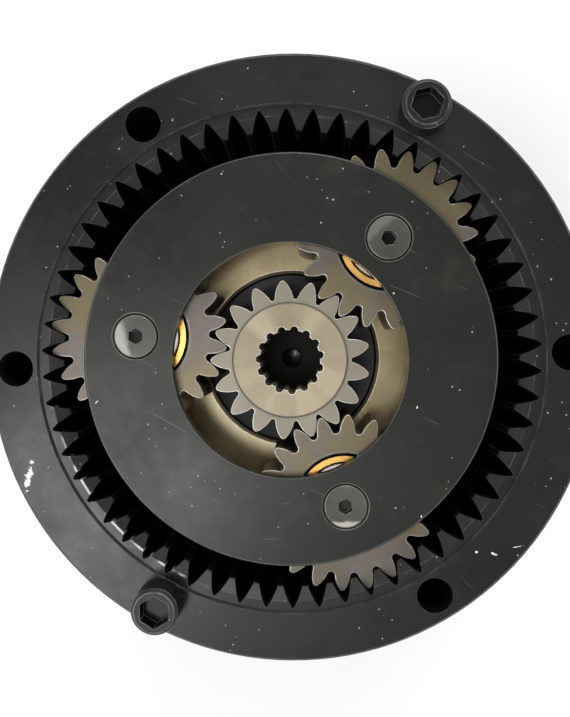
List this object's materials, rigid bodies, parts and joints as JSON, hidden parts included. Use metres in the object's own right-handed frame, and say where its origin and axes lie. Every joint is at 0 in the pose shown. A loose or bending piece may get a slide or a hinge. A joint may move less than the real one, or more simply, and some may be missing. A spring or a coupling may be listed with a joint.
{
  "type": "planetary gearbox",
  "caption": "Round planetary reduction gearbox, opened on its motor side, with internal ring gear, planets, splined sun, bolted casing and an output pinion.",
  "frame": {"origin": "centre of the output pinion's lower end face, on the common axis", "axes": "+Z along the common axis towards the motor side; +Y through one of the two cap screws"},
  "size_m": [0.276, 0.276, 0.312],
  "materials": {
    "black_oxide_steel": "black oxide, satin, dusty and scuffed",
    "housing_paint": "dark satin paint on a sand casting",
    "cover_steel": "dark ground steel with a polished rim",
    "planet_steel": "carburised gear steel, bright deburred tooth edges",
    "sun_steel": "ground face, warm light grey",
    "tinted_steel": "heat tinted golden brown steel with specks",
    "cage_bronze": "polished yellow metal",
    "bright_steel": "ground bearing steel",
    "screw_steel": "zinc grey, scuffed head",
    "black_screw": "black oxide, satin",
    "pinion_steel": "phosphated forging with ground journals",
    "seal_rubber": "brown-black nitrile",
    "copper": "annealed sealing washer"
  },
  "bodies": {
    "casing": {"ring_gear": "black_oxide_steel", "lower_housing": "housing_paint", "ring_cap_screws": "black_screw", "dowel_pins": "bright_steel", "drain_plug": "screw_steel", "level_plug": "screw_steel", "plug_washers": "copper", "shaft_seal": "seal_rubber", "upper_bearing_cup": "bright_steel", "lower_bearing_cup": "bright_steel"},
    "output": {"output_shaft": "pinion_steel", "upper_bearing_cone": "bright_steel", "lower_bearing_cone": "bright_steel", "bearing_nut": "screw_steel", "lock_washer": "screw_steel", "second_carrier": "screw_steel", "second_planet_pins": "bright_steel", "pin_lock_pins": "black_screw", "second_thrust_washers": "cage_bronze", "carrier_thrust_ring": "cage_bronze", "shaft_end_plate": "screw_steel", "end_plate_screws": "black_screw"},
    "input_carrier": {"first_carrier": "tinted_steel", "carrier_cover": "cover_steel", "carrier_cover_screws": "screw_steel", "first_planet_pins": "bright_steel", "first_thrust_washers": "cage_bronze", "sun_thrust_plate": "cover_steel", "second_sun": "sun_steel", "sun_snap_ring": "bright_steel"},
    "input_sun": {"input_sun": "sun_steel"},
    "upper_roller_set": {"upper_bearing_rollers": "bright_steel", "upper_bearing_cage": "bright_steel"},
    "lower_roller_set": {"lower_bearing_rollers": "bright_steel", "lower_bearing_cage": "bright_steel"},
    "planet_1_1": {"first_planet_1": "planet_steel"},
    "needles_1_1": {"first_needle_cage_1": "cage_bronze", "first_needles_1": "bright_steel"},
    "planet_1_2": {"first_planet_2": "planet_steel"},
    "needles_1_2": {"first_needle_cage_2": "cage_bronze", "first_needles_2": "bright_steel"},
    "planet_1_3": {"first_planet_3": "planet_steel"},
    "needles_1_3": {"first_needle_cage_3": "cage_bronze", "first_needles_3": "bright_steel"},
    "planet_2_1": {"second_planet_1": "planet_steel"},
    "needles_2_1": {"second_needle_cage_1": "cage_bronze", "second_needles_1": "bright_steel"},
    "planet_2_2": {"second_planet_2": "planet_steel"},
    "needles_2_2": {"second_needle_cage_2": "cage_bronze", "second_needles_2": "bright_steel"},
    "planet_2_3": {"second_planet_3": "planet_steel"},
    "needles_2_3": {"second_needle_cage_3": "cage_bronze", "second_needles_3": "bright_steel"},
    "planet_2_4": {"second_planet_4": "planet_steel"},
    "needles_2_4": {"second_needle_cage_4": "cage_bronze", "second_needles_4": "bright_steel"}
  },
  "joints": [
    {"name": "output_spin", "type": "hinge", "parent": "casing", "child": "output", "pos_m": [0, 0, 0.15], "axis": [0, 0, 1], "continuous": true},
    {"name": "input_carrier_spin", "type": "hinge", "parent": "casing", "child": "input_carrier", "pos_m": [0, 0, 0.26], "axis": [0, 0, 1], "continuous": true},
    {"name": "input_sun_spin", "type": "hinge", "parent": "casing", "child": "input_sun", "pos_m": [0, 0, 0.28], "axis": [0, 0, 1], "continuous": true},
    {"name": "first_planet_1_spin", "type": "hinge", "parent": "input_carrier", "child": "planet_1_1", "pos_m": [0.01059, 0.05601, 0.28], "axis": [0, 0, 1], "continuous": true},
    {"name": "first_needles_1_spin", "type": "hinge", "parent": "input_carrier", "child": "needles_1_1", "pos_m": [0.01059, 0.05601, 0.28], "axis": [0, 0, 1], "continuous": true},
    {"name": "first_planet_2_spin", "type": "hinge", "parent": "input_carrier", "child": "planet_1_2", "pos_m": [-0.0538, -0.01883, 0.28], "axis": [0, 0, 1], "continuous": true},
    {"name": "first_needles_2_spin", "type": "hinge", "parent": "input_carrier", "child": "needles_1_2", "pos_m": [-0.0538, -0.01883, 0.28], "axis": [0, 0, 1], "continuous": true},
    {"name": "first_planet_3_spin", "type": "hinge", "parent": "input_carrier", "child": "planet_1_3", "pos_m": [0.04321, -0.03718, 0.28], "axis": [0, 0, 1], "continuous": true},
    {"name": "first_needles_3_spin", "type": "hinge", "parent": "input_carrier", "child": "needles_1_3", "pos_m": [0.04321, -0.03718, 0.28], "axis": [0, 0, 1], "continuous": true},
    {"name": "second_planet_1_spin", "type": "hinge", "parent": "output", "child": "planet_2_1", "pos_m": [0.04031, 0.04031, 0.22], "axis": [0, 0, 1], "continuous": true},
    {"name": "second_needles_1_spin", "type": "hinge", "parent": "output", "child": "needles_2_1", "pos_m": [0.04031, 0.04031, 0.22], "axis": [0, 0, 1], "continuous": true},
    {"name": "second_planet_2_spin", "type": "hinge", "parent": "output", "child": "planet_2_2", "pos_m": [-0.04031, 0.04031, 0.22], "axis": [0, 0, 1], "continuous": true},
    {"name": "second_needles_2_spin", "type": "hinge", "parent": "output", "child": "needles_2_2", "pos_m": [-0.04031, 0.04031, 0.22], "axis": [0, 0, 1], "continuous": true},
    {"name": "second_planet_3_spin", "type": "hinge", "parent": "output", "child": "planet_2_3", "pos_m": [-0.04031, -0.04031, 0.22], "axis": [0, 0, 1], "continuous": true},
    {"name": "second_needles_3_spin", "type": "hinge", "parent": "output", "child": "needles_2_3", "pos_m": [-0.04031, -0.04031, 0.22], "axis": [0, 0, 1], "continuous": true},
    {"name": "second_planet_4_spin", "type": "hinge", "parent": "output", "child": "planet_2_4", "pos_m": [0.04031, -0.04031, 0.22], "axis": [0, 0, 1], "continuous": true},
    {"name": "second_needles_4_spin", "type": "hinge", "parent": "output", "child": "needles_2_4", "pos_m": [0.04031, -0.04031, 0.22], "axis": [0, 0, 1], "continuous": true},
    {"name": "upper_rollers_spin", "type": "hinge", "parent": "casing", "child": "upper_roller_set", "pos_m": [0, 0, 0.16], "axis": [0, 0, 1], "continuous": true},
    {"name": "lower_rollers_spin", "type": "hinge", "parent": "casing", "child": "lower_roller_set", "pos_m": [0, 0, 0.092], "axis": [0, 0, 1], "continuous": true}
  ],
  "couplings": [
    {"joint": "input_carrier_spin", "follows": "output_spin", "ratio": 4.2222},
    {"joint": "input_sun_spin", "follows": "output_spin", "ratio": 18.627},
    {"joint": "first_planet_1_spin", "follows": "output_spin", "ratio": -12.244},
    {"joint": "first_needles_1_spin", "follows": "output_spin", "ratio": -6.7619},
    {"joint": "first_planet_2_spin", "follows": "output_spin", "ratio": -12.244},
    {"joint": "first_needles_2_spin", "follows": "output_spin", "ratio": -6.7619},
    {"joint": "first_planet_3_spin", "follows": "output_spin", "ratio": -12.244},
    {"joint": "first_needles_3_spin", "follows": "output_spin", "ratio": -6.7619},
    {"joint": "second_planet_1_spin", "follows": "output_spin", "ratio": -2.9},
    {"joint": "second_needles_1_spin", "follows": "output_spin", "ratio": -1.6015},
    {"joint": "second_planet_2_spin", "follows": "output_spin", "ratio": -2.9},
    {"joint": "second_needles_2_spin", "follows": "output_spin", "ratio": -1.6015},
    {"joint": "second_planet_3_spin", "follows": "output_spin", "ratio": -2.9},
    {"joint": "second_needles_3_spin", "follows": "output_spin", "ratio": -1.6015},
    {"joint": "second_planet_4_spin", "follows": "output_spin", "ratio": -2.9},
    {"joint": "second_needles_4_spin", "follows": "output_spin", "ratio": -1.6015},
    {"joint": "upper_rollers_spin", "follows": "output_spin", "ratio": 0.45569},
    {"joint": "lower_rollers_spin", "follows": "output_spin", "ratio": 0.46124}
  ]
}
